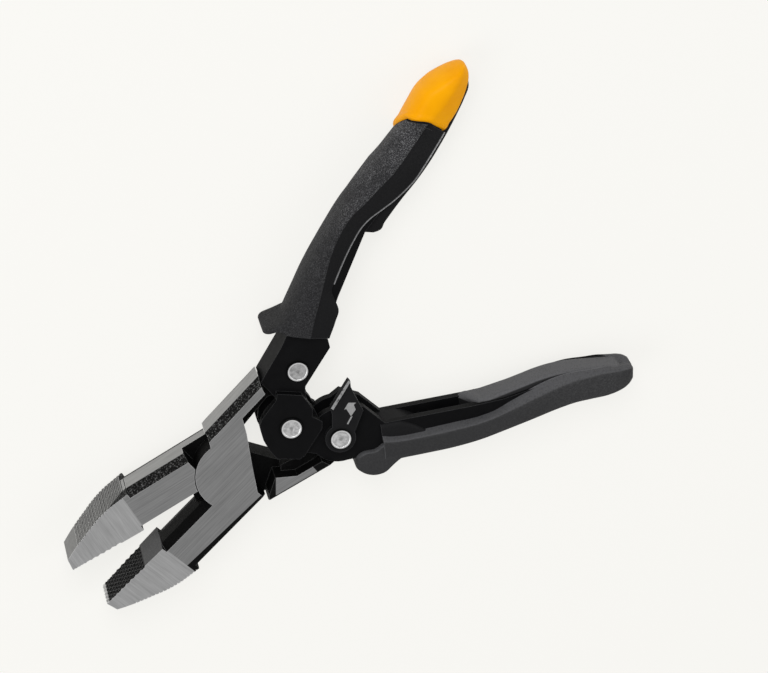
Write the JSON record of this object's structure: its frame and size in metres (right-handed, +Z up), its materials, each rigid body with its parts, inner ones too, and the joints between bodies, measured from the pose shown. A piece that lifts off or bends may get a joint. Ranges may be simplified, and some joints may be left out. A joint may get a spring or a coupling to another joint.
{
  "type": "compound leverage pliers",
  "caption": "Compound-leverage combination pliers with linked handles, a lock lever, toothed and cutting jaws, a return spring and soft grips, lying open on one side.",
  "frame": {"origin": "on the jaw pivot axis, at the flat face of its back rivet head, where the pliers rest", "axes": "+X from the jaws to the handles, +Y to the side of the longer handle, +Z up out of the surface the pliers lie on"},
  "size_m": [0.2406, 0.1483, 0.0212],
  "materials": {
    "jaw_steel": "satin, brushed along the cheeks",
    "bright_rivet": "satin",
    "black_steel": "black oxide, satin",
    "spring_wire": "drawn wire",
    "grip_rubber": "fine grain",
    "grip_band": "smooth",
    "black_plastic": "matt",
    "yellow_end": "satin"
  },
  "bodies": {
    "lower_jaw": {"lower_jaw": "jaw_steel", "jaw_pivot_rivet": "jaw_steel"},
    "upper_jaw": {"upper_jaw": "jaw_steel", "lower_link_rivet": "bright_rivet"},
    "upper_handle": {"upper_handle_channel": "black_steel", "main_pivot_rivet": "bright_rivet", "upper_link_rivet": "bright_rivet", "spring_bush": "black_steel", "upper_spring_pin": "black_steel", "return_spring": "spring_wire", "upper_grip_pad": "grip_rubber", "upper_grip_frame": "grip_band", "upper_grip_liner": "black_plastic", "upper_grip_end_cap": "yellow_end"},
    "lower_handle": {"lower_handle_channel": "black_steel", "lower_spring_pin": "black_steel", "lever_washer": "black_steel", "lower_grip_pad": "grip_rubber", "lower_grip_frame": "grip_band", "lower_grip_liner": "black_plastic"},
    "lock_lever": {"lock_lever": "black_steel"}
  },
  "joints": [
    {"name": "upper_link", "type": "hinge", "parent": "lower_jaw", "child": "upper_handle", "pos_m": [0.0448, 0.0169, 0.0106], "axis": [0, 0, 1], "range_deg": [-14.2, 0]},
    {"name": "main_fold", "type": "hinge", "parent": "upper_handle", "child": "lower_handle", "pos_m": [0.0285, 0.001, 0.0106], "axis": [0, 0, 1], "range_deg": [0, 40.6], "stiffness_Nm_per_rad": 0.3, "springref_deg": -20.05, "deforming": ["return_spring"]},
    {"name": "jaw_pivot", "type": "hinge", "parent": "lower_jaw", "child": "upper_jaw", "pos_m": [0, 0, 0.0106], "axis": [0, 0, 1], "range_deg": [0, 15.2]},
    {"name": "lock_lever_turn", "type": "hinge", "parent": "lower_handle", "child": "lock_lever", "pos_m": [0.0397, -0.0155, 0.0193], "axis": [0, 0, 1], "range_deg": [0, 12]}
  ],
  "couplings": [
    {"joint": "upper_link", "follows": "main_fold", "ratio": -0.347},
    {"joint": "jaw_pivot", "follows": "main_fold", "ratio": 0.374}
  ]
}
